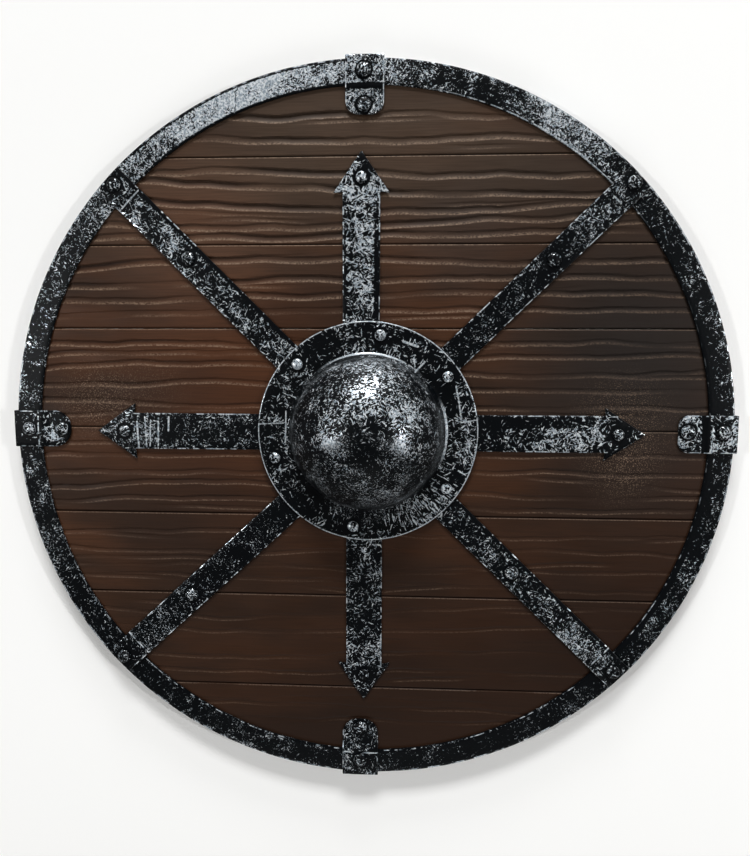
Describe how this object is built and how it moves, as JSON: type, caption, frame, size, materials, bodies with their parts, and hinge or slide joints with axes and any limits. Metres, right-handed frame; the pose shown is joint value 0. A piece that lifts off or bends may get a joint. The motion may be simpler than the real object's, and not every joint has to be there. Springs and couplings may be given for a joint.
{
  "type": "wooden round shield",
  "caption": "Round wooden shield of carved planks with an iron rim, a hollow domed boss over a hand grip, arrow-headed cross straps, diagonal straps and riveted rim clamps.",
  "frame": {"origin": "on the plane the shield lies on, under the centre of its round outline", "axes": "+Z out of the shield's face, +Y towards the top of the shield as worn, +X to the right of someone facing it; the shield lies on its back, face up"},
  "size_m": [0.6146, 0.6146, 0.0784],
  "materials": {
    "carved_wood": "dark brown stained softwood with carved grain, satin",
    "grip_wood": "dark stained, worn smooth",
    "iron": "blue-black paint with dabbed silver strokes, semi-gloss",
    "rivet_iron": "blue-black paint with silver rubbed onto the domed heads"
  },
  "bodies": {
    "root": {"plank_1": "carved_wood", "plank_2": "carved_wood", "plank_3": "carved_wood", "plank_4": "carved_wood", "plank_5": "carved_wood", "plank_6": "carved_wood", "plank_7": "carved_wood", "plank_8": "carved_wood", "grip": "grip_wood", "rim": "iron", "boss": "iron", "arrow_strap_east": "iron", "arrow_strap_north": "iron", "arrow_strap_west": "iron", "arrow_strap_south": "iron", "diagonal_strap_northeast": "iron", "diagonal_strap_northwest": "iron", "diagonal_strap_southwest": "iron", "diagonal_strap_southeast": "iron", "clamp_east": "iron", "clamp_north": "iron", "clamp_west": "iron", "clamp_south": "iron", "boss_rivet_1": "rivet_iron", "boss_rivet_2": "rivet_iron", "boss_rivet_3": "rivet_iron", "boss_rivet_4": "rivet_iron", "boss_rivet_5": "rivet_iron", "boss_rivet_6": "rivet_iron", "arrow_rivet_east": "rivet_iron", "arrow_rivet_north": "rivet_iron", "arrow_rivet_west": "rivet_iron", "arrow_rivet_south": "rivet_iron", "arrow_root_rivet_west": "rivet_iron", "arrow_root_rivet_south": "rivet_iron", "clamp_rivet_east_outer": "rivet_iron", "clamp_rivet_east_inner": "rivet_iron", "clamp_rivet_north_outer": "rivet_iron", "clamp_rivet_north_inner": "rivet_iron", "clamp_rivet_west_outer": "rivet_iron", "clamp_rivet_west_inner": "rivet_iron", "clamp_rivet_south_outer": "rivet_iron", "clamp_rivet_south_inner": "rivet_iron", "diagonal_rivet_northeast_outer": "rivet_iron", "diagonal_rivet_northeast_inner": "rivet_iron", "diagonal_rivet_northwest_outer": "rivet_iron", "diagonal_rivet_northwest_inner": "rivet_iron", "diagonal_rivet_southwest_outer": "rivet_iron", "diagonal_rivet_southwest_inner": "rivet_iron", "diagonal_rivet_southeast_outer": "rivet_iron", "diagonal_rivet_southeast_inner": "rivet_iron"}
  },
  "joints": []
}
